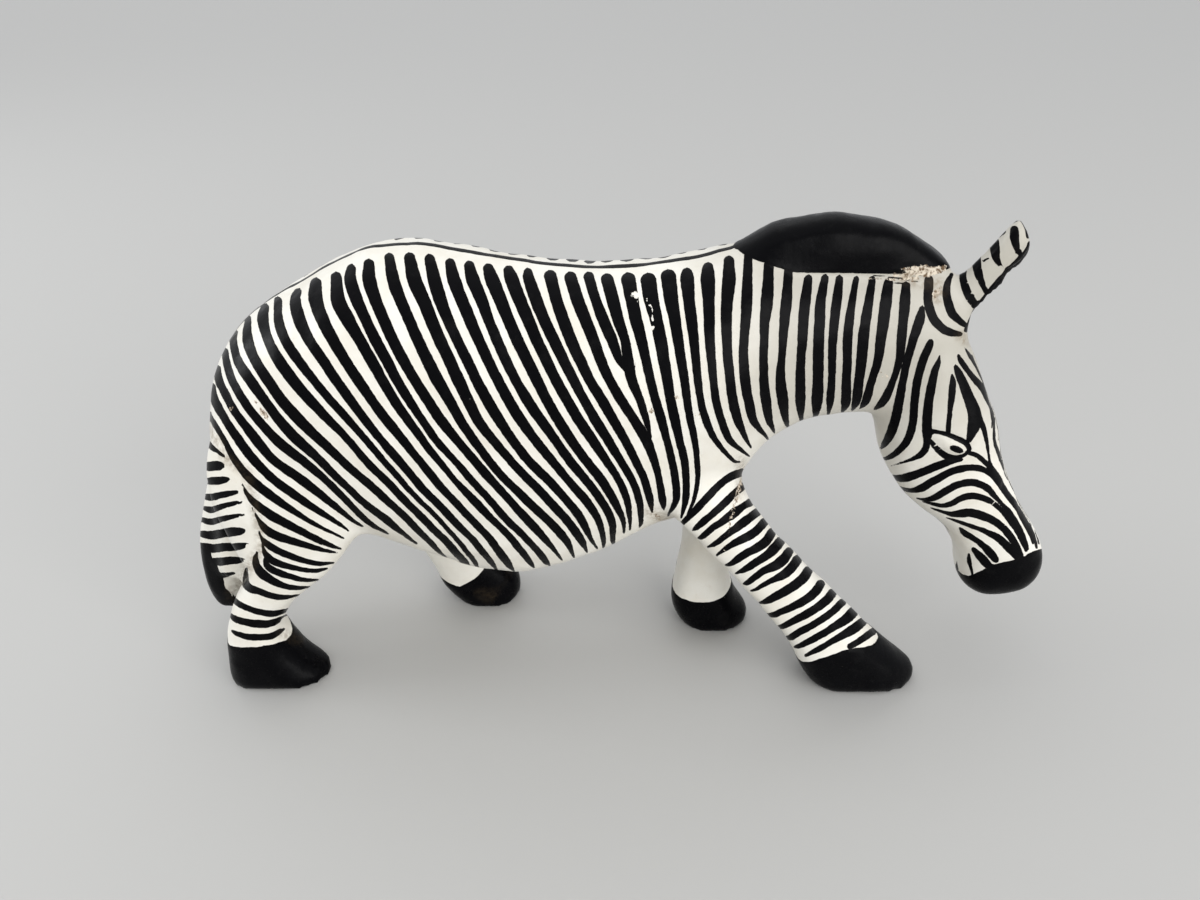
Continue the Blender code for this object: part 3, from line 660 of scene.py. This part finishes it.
def hoof_distance(places):
    """Height above the nearest hoof's upper edge, in mm, less than zero on the hoof."""
    x, y, z = places.points.T
    above = np.full(len(x), PLENTY)
    for back, front, right, left, top in HOOVES:
        height = z - np.interp(x, top[:, 0], top[:, 1])
        mine = (x > back) & (x < front) & (y > right) & (y < left) & (z < ANKLE)
        above = np.where(mine & ~on_tail(places), np.minimum(above, height), above)
    return above


# %% [markdown]
# Where a stripe stops is told by how far the skin faces the eye: 1 straight on, 0 at the
# outline, less than 0 out of sight. The body stripes stop just past the outline, those on
# the near legs and the rump run further round, and the far legs have theirs outside only.

# %% Where the stripes stop
BODY_STOP = -0.08
FURTHER_ROUND = 0.35
OUTSIDE = 0.05
LEG_RIM = 3.0  # percent of the length
LEG_INTO_BODY = (36, 48)  # percent of the height
RUMP_ROUND = (-104, -92)  # mm along the body
RUMP_LOW = 40  # percent of the height


def end_of_stripes(places):
    """More than zero, in mm, where the stripes of the body and the legs have ended."""
    on_legs = [np.maximum(*(within(places.along, leg, places.up, LEG_RIM) for leg in pair))
               for pair in ((NEAR_HIND, NEAR_FRONT), (FAR_HIND, FAR_FRONT))]
    low = 1 - ramp(places.up, *LEG_INTO_BODY)
    rump = (1 - ramp(places.points[:, 0], *RUMP_ROUND)) * (places.up > RUMP_LOW)
    stop = BODY_STOP - FURTHER_ROUND * np.maximum(on_legs[0] * ~places.far * low, rump)
    inner = np.where(on_legs[1] * places.far * low > 0.5,
                     (OUTSIDE - places.real_normals[:, 1]) * TURN, -PLENTY)
    return np.maximum((stop - places.facing) * TURN, inner)


def body_stripes(places):
    """Middle distance and half width of the body stripes, layer by layer, and their end."""
    end = np.where(on_ear(places) | on_tail(places), PLENTY, end_of_stripes(places))
    layers = [[stroke for n, stroke in enumerate(stripes) if (n + (n >= FORK)) % LAYERS == k]
              for k in range(LAYERS)]
    lines = [middle_lines(places.pixels, layer) for layer in layers]
    return [(side, half + SWELL) for side, half in lines], np.clip(end, -PLENTY, PLENTY)


# %% [markdown]
# The front of the face has long thin lines from the brow to the nose, which follow no
# stroke that the picture shows whole. They are set side by side at one pitch, with a
# slight sway, from where the strokes on the cheek stop.

# %% The head and all the other black
FACE_EDGE = 0.14  # how far round the brow the read strokes go
FACE_PITCH = 2.3  # mm between the lines down the front of the face
FACE_LINE = 0.65  # mm, half the width of one
FACE_SWAY, SWAY_PITCH = 0.25, 0.3  # mm, and radians a mm of height
FACE_ENDS = ((27, 36), (66, 76))  # percent of the height
BROW_X = POLL_X + 3  # mm
BROW_TURN = (0.0, 0.5)
JAW_STOP = -0.15
EAR_STOP = -0.1
EAR_X = POLL_X - 4  # mm
EAR_STROKES_LOW, MANE_LOW, MUZZLE_HIGH = 60, 60, 40  # percent of the height
HOLLOW_WAY, HOLLOW_RIM = np.array([0.78, 0.0, -0.62]), 0.38  # the way the ears open
HOLLOW_TURN = 2.0  # mm


def face_front(places, start):
    """Distances to the long lines down the front of the face, layer by layer."""
    sway = FACE_SWAY * np.sin(places.points[:, 2] * SWAY_PITCH)
    bottom, top = (ramp(places.up, *ends) for ends in FACE_ENDS)
    ends = (bottom - top) * (places.points[:, 0] > BROW_X)
    off = np.abs(places.off_middle)
    lines = [np.abs(off - FACE_PITCH * k + sway * (k > 0)) - FACE_LINE * ends
             for k in range(LAYERS)]
    return [np.maximum(line + (ends <= 0), start) for line in lines]


def black_layers(places):
    """Distances to the other black edges in mm, layer by layer."""
    pixels, facing = places.pixels, places.facing
    ear, tail = on_ear(places), on_tail(places)
    leg_stop = end_of_stripes(places)
    brow = ramp(places.normals[:, 0] + places.normals[:, 2], *BROW_TURN)
    head_stop = (JAW_STOP + (FACE_EDGE - JAW_STOP) * brow - facing) * TURN
    front_lines = face_front(places, (facing - FACE_EDGE) * TURN)
    ear_low = PLENTY * (places.up < EAR_STROKES_LOW)
    ear_stop = np.where(ear, -PLENTY, (EAR_STOP - facing) * TURN + ear_low)
    legs = layers_of(pixels, HIND_LEG_STROKES + FRONT_LEG_STROKES + NECK_LINES)
    head = layers_of(pixels, HEAD_STROKES + EYE_STROKES, HEAD_SWELL)
    ears, tails = layers_of(pixels, EAR_STROKES), layers_of(pixels, TAIL_STROKES)
    black = []
    for k in range(LAYERS):
        layer = np.minimum(np.maximum(legs[k], leg_stop), np.maximum(head[k], head_stop))
        layer = np.where(ear, PLENTY, np.minimum(layer, front_lines[k]))
        with_ear = np.minimum(layer, np.maximum(ears[k], ear_stop))
        layer = np.where(places.points[:, 0] > EAR_X, with_ear, layer)
        black.append(np.where(tail, tails[k], layer))
    hollow = (HOLLOW_RIM - places.normals @ HOLLOW_WAY) * HOLLOW_TURN
    tip = distance_to_outline(pixels, TAIL_TIP)
    for part, fill in ((ear, hollow), (tail, tip)):
        black[0] = np.where(part, np.minimum(black[0], fill), black[0])
    for fill in (mane_distance(places), muzzle_distance(places), hoof_distance(places)):
        black[0] = np.minimum(black[0], fill)
    return black


def mane_distance(places):
    """Distance to the mane's edge in mm, less than zero on it."""
    off = (places.up < MANE_LOW) | on_ear(places)
    return np.where(off, PLENTY, distance_to_outline(places.pixels, MANE))


def muzzle_distance(places):
    """Distance to the black muzzle's edge in mm, less than zero on it."""
    return np.where(places.up > MUZZLE_HIGH, PLENTY, distance_to_outline(places.pixels, MUZZLE))


# %% [markdown]
# ## Finer squares where the brush was fine
# The stripes on the head, the ears and the shins are about two millimetres wide, so the
# squares near their edges are cut in four, and so are those at the round tops of the
# body stripes. The plain places keep the larger ones.

# %% Cut the squares near fine edges
FINE_BAND = 0.55  # mm on either side of an edge
TOP_BAND = 3.5  # pixels around the round top of a body stripe
TOPS_LOW = 45  # percent of the height, below it no stripe starts
# Fine places: from and to along the body in mm, from and to in percent of the height, and
# how far the skin faces the eye at least.
FINE_PLACES = table("62,200,15,200,-2 -200,-60,-10,52,-2 28,64,-10,62,-2 -200,200,-10,38,-.3")


def cut_finer(mesh, wanted):
    """Cuts each face whose corners are all wanted in four."""
    cut = bmesh.new()
    cut.from_mesh(mesh)
    edges = [e for e in cut.edges if wanted[e.verts[0].index] and wanted[e.verts[1].index]]
    bmesh.ops.subdivide_edges(cut, edges=edges, cuts=1, use_grid_fill=True)
    large = [face for face in cut.faces if len(face.verts) > 4]
    bmesh.ops.triangulate(cut, faces=large)
    cut.to_mesh(mesh)
    cut.free()


places = places_of(skin_mesh)
x = places.points[:, 0]
fine = on_tail(places)
for back, front, low, high, facing in FINE_PLACES:
    level = (places.up > low) & (places.up < high) & (places.facing > facing)
    fine |= level & (x > back) & (x < front)
near_edge = np.min(np.abs(black_layers(places)), axis=0) < FINE_BAND
round_tops = np.zeros(len(x), dtype=bool)
for stroke in stripes:
    near_top = np.linalg.norm(places.pixels - stroke[0, :2], axis=1) < stroke[0, 2] + TOP_BAND
    round_tops |= near_top & (places.up > TOPS_LOW)
cut_finer(skin_mesh, fine & near_edge | round_tops)
print("skin:", sum(len(face.vertices) - 2 for face in skin_mesh.polygons), "triangles")

# %% [markdown]
# ## Marks of use
# The paint has come off in small places and shows white ground or brown wood, and dirt
# sits in the grooves, where brown painted shade also darkens the creases. These are strokes
# too, but the first take paint away and the last only tint it.

# %% Chips, bare wood and dirt
IN_SIGHT = 0.05  # how far a point has to face the eye
SPINE_HALF = 1.1  # mm, half the width of the thin line along the back
SPINE_START, SPINE_END = -116.0, 32.0  # mm
SPINE_LOW, SPINE_TURN = 58, -0.4
# Painted shade: the cream is made darker on the neck and ears, where the head lies in shade.
HEAD_SHADE_ALONG, HEAD_SHADE_UP = (5, 45), (45, 72)  # mm and percent: neck and ears are darker
CHIPS = """
631.5,295,1.4 3.5,-2,2 3,3.5,2.2 3,-2.5,1
636,300,.6 2,3,.8
647,299,.7 3,6,1.3 1.5,6,.7
651,315,.8 2,6,1.2 1.5,3,.6
649,327,1 4,2,1.8 3,4,1.2
652,337,.9 2,3,.8
655,348,.6 1,4,.6
655,514,1.5 2,3,.8
720,379,.7 .5,2,.5
737,309,.7 .5,2,.5
876,375,1.2 13,-.5,1.2
655,561,.6 1.5,2,.6
470,397,.7 1,2,.5
820,243,.5 1,1,.5
"""
BARE_WOOD = """
903,270,2 11,1,4.5 10,0,5.5 9,0,4.5 10,-2,3
893,274,.8 12,3,1.4 13,2,1.2
893,276,.6 10,-1,.8
933.5,299,2.2 2.5,-5,2.8 3,-4,2
258,409,1.4 4,3,2.4 3.5,4.5,3.2
229,405,1 2.5,4,1.6
254,402,.8 3,3,1
882,374,2 5,2,2
649.5,409,1.6 2.5,4,2
676,396,1.4 2,3,1.8
696,413,1.2 3,4,1.4
655,515,1.4 3,2,1.8 3,3,1.6
480,473,.8 2,2,.8
"""
CRACKS = """
744,476,1.5 -3,8,1.5 -3,10,1.3 -3,11,1.2 -4,15,1.1 -4,16,1 -2,14,.8
868,278.5,.4 22,.5,.5 25,2,.4
"""
# Brown dirt, with painted shade in the creases, such as the groove between the tail and the hind
# leg.
DIRT_AND_CREASE_SHADE = """
246,470,2 6,25,3 6,25,3 4,25,3 -10,17,3 -12,18,3 -10,15,3
224,455,3 8,7,3 11,8,2
650,512,3 10,5,4 12,3,2
740,462,3 4,16,3 -6,17,2
905,278,4 20,5,4 15,3,5 -2,12,4
960,336,3 5,4,3
444,562,3 26,13,2
283,634,2 9,4,2.5 6,2,2
205,424,3 7,10,3 8,12,2
"""

places = places_of(skin_mesh)
black = black_layers(places)
long_stripes, stripe_end = body_stripes(places)
seen = (places.off_middle < 0) & (places.facing > IN_SIGHT)


def marks(text):
    """Distance to marks that are only on the side that the picture shows."""
    return np.where(seen, distance_to_strokes(places.pixels, read_strokes(text)), PLENTY)


chips, bare, cracks = marks(CHIPS), marks(BARE_WOOD), marks(CRACKS)
dirt_and_crease_shade = distance_to_strokes(places.pixels, read_strokes(DIRT_AND_CREASE_SHADE))
x = places.points[:, 0]
on_spine = (x > SPINE_START) & (x < SPINE_END) & (places.up > SPINE_LOW)
fields = {"bare_mm": np.minimum(bare, cracks), "dirt_and_shade_mm": dirt_and_crease_shade, "chips_mm": chips,
          "on_spine": on_spine & (places.real_normals[:, 2] > SPINE_TURN),
          "off_middle_mm": np.clip(places.off_middle, -PLENTY, PLENTY), "end_mm": stripe_end,
          "painted_head_shade": ramp(x, *HEAD_SHADE_ALONG) * ramp(places.up, *HEAD_SHADE_UP)}
for k, (side, half) in enumerate(long_stripes):
    fields["black_%d_mm" % k] = black[k]
    fields["side_%d_mm" % k] = side
    fields["half_%d_mm" % k] = half
    black.append(np.maximum(np.abs(side) - half, stripe_end))
for name, values in fields.items():
    layer = skin_mesh.attributes.new(name, "FLOAT", "POINT")
    layer.data.foreach_set("value", values.astype(np.float32))
print("black on", round(100 * float((np.min(black, axis=0) < 0).mean())), "percent of the points")

# %% [markdown]
# ## Knife and chisel
# Paint alone would lie on a skin as smooth as plastic. The real one has flats from the
# knife, a mane and hooves that stand a little proud, an eye cut round with a line, and a
# glued crack in the near front leg. Each point moves along its normal by a fraction of a
# millimetre for these.

# %% Carve the small relief
KNIFE_FLATS = 0.13  # mm
FLAT_WAVES, FLAT_SHIFT = 7, 3
FLAT_PITCH, FLAT_SHARP = 0.55, 0.8  # radians a mm, and how sharply one flat meets the next
MANE_STEP = 0.25  # mm
HOOF_STEP = 0.2
EYE_BALL = (951.0, 446.5, 15.0, 7.5)  # across, down, half length and half height in pixels
EYE_SLANT = 0.35
EYE_RISE = 0.45
EYE_EDGE = (0, 0.8)
CUT_DEPTH, CHIP_DEPTH = 0.3, 0.15
# mm from the outside to the inside of an edge, over which the relief rises or falls
PAINT_EDGE, LINE_EDGE, CRACK_EDGE, CHIP_EDGE = (-0.2, 0.4), (-0.3, 0.5), (-0.3, 0.2), (-0.2, 0.3)
SOLE = (0.3, 2.5)  # mm of height in which the relief sets in, so the soles stay flat

waves = np.random.default_rng(4).normal(size=(FLAT_WAVES, 4))
flats = np.zeros(len(places.points))
for *way, shift in waves:
    flats += np.sin(places.points @ (way / np.linalg.norm(way) * FLAT_PITCH) + shift * FLAT_SHIFT)
relief = KNIFE_FLATS * np.tanh(flats * FLAT_SHARP)
relief += MANE_STEP * ramp(-mane_distance(places), *PAINT_EDGE)
relief += HOOF_STEP * ramp(-hoof_distance(places), *PAINT_EDGE)
from_eye = places.pixels - EYE_BALL[:2]
across = from_eye[:, 0] / EYE_BALL[2]
down = (from_eye[:, 1] - EYE_SLANT * from_eye[:, 0]) / EYE_BALL[3]
on_face = (x > POLL_X) & (places.facing > 0)
relief += EYE_RISE * on_face * ramp(1 - across**2 - down**2, *EYE_EDGE)
eye_lines = distance_to_strokes(places.pixels, read_strokes(EYE_STROKES)[:2])
relief -= CUT_DEPTH * on_face * ramp(-eye_lines, *LINE_EDGE)
relief -= CUT_DEPTH * ramp(-cracks, *CRACK_EDGE)
relief -= CHIP_DEPTH * ramp(-np.minimum(bare, chips), *CHIP_EDGE)
relief *= ramp(places.points[:, 2], *SOLE)
moved = (places.points + relief[:, None] * places.real_normals) * MM
skin_mesh.vertices.foreach_set("co", moved.astype(np.float32).ravel())
skin_mesh.update()
skin_mesh.shade_smooth()
print("relief from", round(float(relief.min()), 2), "to", round(float(relief.max()), 2), "mm")

# %% [markdown]
# ## Painted wood
# The white is a brushed satin house paint that has gone cream, with a brown haze of age, and with
# painted shade on the neck, the ears and in the creases.
# The black is thicker and glossier, and its edges waver by less than a tenth of a
# millimetre. Both come from one material: noise moves the edge, the distance to it chooses
# the paint, and two bumps raise the black film and the grain below it.

# %% Mix the paint
def new_material(name):
    """A material and its shader."""
    made = bpy.data.materials.new(name)
    made.use_nodes = True
    return made, made.node_tree.nodes["Principled BSDF"]


paint, shader = new_material("painted_wood")
nodes, links = paint.node_tree.nodes, paint.node_tree.links


def fill_in(made, inputs):
    """Gives each input of a node its value, or a link to the socket that it comes from."""
    for key, value in inputs.items():
        if isinstance(value, bpy.types.NodeSocket):
            links.new(value, made.inputs[key])
        else:
            colour = isinstance(value, tuple)
            made.inputs[key].default_value = (*value, 1) if colour else value
    return made


def node(kind, inputs, **settings):
    """A new node of the paint."""
    made = nodes.new(kind)
    for key, value in settings.items():
        setattr(made, key, value)
    return fill_in(made, inputs)


def noise(scale, detail=3.0, roughness=0.55):
    """A noise of that many cells a metre."""
    return node("ShaderNodeTexNoise", {"Vector": coords, "Scale": scale, "Detail": detail,
                                       "Roughness": roughness}).outputs["Fac"]


def reach(source, low, high, to_low=0.0, to_high=1.0):
    """The source stretched from one range to another, and kept inside it."""
    return node("ShaderNodeMapRange", {0: source, 1: low, 2: high, 3: to_low,
                                       4: to_high}).outputs[0]


def mix(share, first, second):
    """A mix of two colours, each a socket or a colour."""
    return node("ShaderNodeMix", {0: share, 6: first, 7: second}, data_type="RGBA").outputs[2]


def math_node(operation, first, second=0.0):
    """Two sockets, or a socket and a number, put together."""
    return node("ShaderNodeMath", {0: first, 1: second}, operation=operation).outputs[0]


def field(name):
    """A distance that the skin carries."""
    return node("ShaderNodeAttribute", {}, attribute_name=name).outputs["Fac"]


coords = node("ShaderNodeTexCoord", {}).outputs["Object"]
off_spine = reach(field("on_spine"), 0, 1, PLENTY, -SPINE_HALF)
black_at = math_node("ADD", math_node("ABSOLUTE", field("off_middle_mm")), off_spine)
for k in range(LAYERS):
    from_middle = math_node("ABSOLUTE", field("side_%d_mm" % k))
    stripe = math_node("SUBTRACT", from_middle, field("half_%d_mm" % k))
    black_at = math_node("MINIMUM", black_at, math_node("MAXIMUM", stripe, field("end_mm")))
    black_at = math_node("MINIMUM", black_at, field("black_%d_mm" % k))
chip_edge = math_node("ADD", field("chips_mm"), reach(noise(1100, 4, 0.6), 0.35, 0.65, -0.2, 0.2))
black_at = math_node("MAXIMUM", black_at, math_node("MULTIPLY", chip_edge, -1.0))
waver = reach(noise(600, 2), 0.3, 0.7, -0.07, 0.07)
edge = math_node("ADD", black_at, waver)
black_share = reach(edge, 0.04, -0.04)
bare_edge = math_node("ADD", field("bare_mm"), reach(noise(1300, 5, 0.65), 0.35, 0.65, -0.4, 0.4))
bare_share = reach(bare_edge, 0.05, -0.05)

CREAM = (0.755, 0.735, 0.672)
AGED = (0.69, 0.655, 0.572)
HAZE = (0.54, 0.46, 0.35)
PAINTED_HEAD_SHADE = (0.37, 0.35, 0.30)
SOOT = (0.0012, 0.0012, 0.0017)
WORN_BLACK = (0.007, 0.0068, 0.007)
WOOD = (0.13, 0.085, 0.05)
GROUND = (0.62, 0.55, 0.45)
DIRT_AND_SHADE_BROWN = (0.20, 0.145, 0.085)
PAINT_IOR = 1.42
cream = mix(reach(noise(90, 5, 0.62), 0.38, 0.68), CREAM, AGED)
cream = mix(reach(noise(420, 4, 0.7), 0.60, 0.80, 0.0, 0.35), cream, HAZE)
soot = mix(reach(noise(260, 6, 0.7), 0.55, 0.8, 0.0, 0.8), SOOT, WORN_BLACK)
# Painted shade: darker cream on the neck and ears.
cream = mix(math_node("MULTIPLY", field("painted_head_shade"), 0.8), cream, PAINTED_HEAD_SHADE)
colour = mix(black_share, cream, soot)
colour = mix(bare_share, colour, mix(reach(noise(1000, 5, 0.6), 0.42, 0.56), WOOD, GROUND))
# Dirt and painted shade: the brown darkening along those strokes, in the creases partly painted
# shade.
dirt_and_shade_tint = math_node("MULTIPLY", reach(field("dirt_and_shade_mm"), 1.6, -0.8),
                  reach(noise(650, 5, 0.7), 0.36, 0.60))
dirt_and_shade_tint = math_node("MULTIPLY", dirt_and_shade_tint, reach(black_share, 0, 1, 1.0, 0.15))
colour = mix(math_node("MULTIPLY", dirt_and_shade_tint, 0.75), colour, DIRT_AND_SHADE_BROWN)

satin = reach(noise(320, 4), 0.3, 0.7, 0.34, 0.5)
gloss = reach(noise(500, 5), 0.3, 0.7, 0.22, 0.36)
rough = node("ShaderNodeMix", {0: black_share, 2: satin, 3: gloss}, data_type="FLOAT").outputs[0]
grain = node("ShaderNodeBump", {"Height": noise(520, 4, 0.5), "Strength": 0.55,
                                "Distance": 0.12 * MM}).outputs["Normal"]
film = node("ShaderNodeBump", {"Height": reach(edge, 0.25, -0.25), "Strength": 0.5,
                               "Distance": 0.08 * MM, "Normal": grain}).outputs["Normal"]
fill_in(shader, {"Base Color": colour, "IOR": PAINT_IOR, "Normal": film,
                 "Roughness": math_node("ADD", rough, math_node("MULTIPLY", bare_share, 0.35)),
                 "Specular IOR Level": reach(black_share, 0, 1, 0.5, 0.07)})
skin_mesh.materials.clear()
skin_mesh.materials.append(paint)
print("paint mixed with", len(nodes), "nodes")

# %% [markdown]
# ## In the solid's place
# The figurine is one piece of wood and nothing on it moves, so the painted skin rides on
# the root and is shown where the plain solid was.

# %% Put the skin in the solid's place
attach(zebra, "root")
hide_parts("zebra_figurine")

# %% [markdown]
# ## Floor and light
# The figure stands on a pale table. In the picture the table runs on behind it with no
# edge, so the floor is one large square.

# %% Lay the floor
FLOOR_HALF = 3.0  # m
floor_mesh = bpy.data.meshes.new("floor")
corners = [(FLOOR_HALF * x, FLOOR_HALF * y, 0) for x, y in ((-1, -1), (1, -1), (1, 1), (-1, 1))]
floor_mesh.from_pydata(corners, [], [(0, 1, 2, 3)])
floor = in_scene("floor", floor_mesh)
table_top, top_shader = new_material("pale_table")
fill_in(top_shader, {"Base Color": (0.43, 0.425, 0.41), "Roughness": 0.55})
floor_mesh.materials.append(table_top)

# %% [markdown]
# The light is that of a room by day. A window far to the left gives the rump its sheen,
# the room to the right front fills the near side, and the bright ceiling makes the wide,
# faint shadows. The picture has bright whites, so the plain view transform is used.

# %% Hang the lights
AIM = Vector((0, 0, 0.06))  # m, the middle of the figure


def soft_box(name, place, size, power, colour):
    """A square lamp that looks at the middle of the figure."""
    lamp = bpy.data.lights.new(name, "AREA")
    lamp.shape = "SQUARE"
    lamp.size = size
    lamp.energy = power
    lamp.color = colour
    holder = in_scene(name, lamp)
    holder.location = place
    holder.rotation_euler = (AIM - holder.location).to_track_quat("-Z", "Y").to_euler()


soft_box("window", place=(-1.05, 0.02, 0.42), size=0.42, power=4.0, colour=(0.95, 0.975, 1.0))
soft_box("room", place=(0.8, -1.1, 0.55), size=1.2, power=16.0, colour=(1.0, 0.99, 0.975))
sky = bpy.data.lights.new("ceiling", "SUN")
sky.energy = 0.85
sky.angle = math.radians(100)
in_scene("ceiling", sky).rotation_euler = (math.radians(-12), math.radians(-18), 0)
world = bpy.data.worlds.new("room_light")
bpy.context.scene.world = world
world.use_nodes = True
fill_in(world.node_tree.nodes["Background"], {"Color": (0.95, 0.97, 1.0), "Strength": 0.82})
bpy.context.scene.view_settings.view_transform = "Standard"
print("lights:", ", ".join(light.name for light in bpy.data.lights))
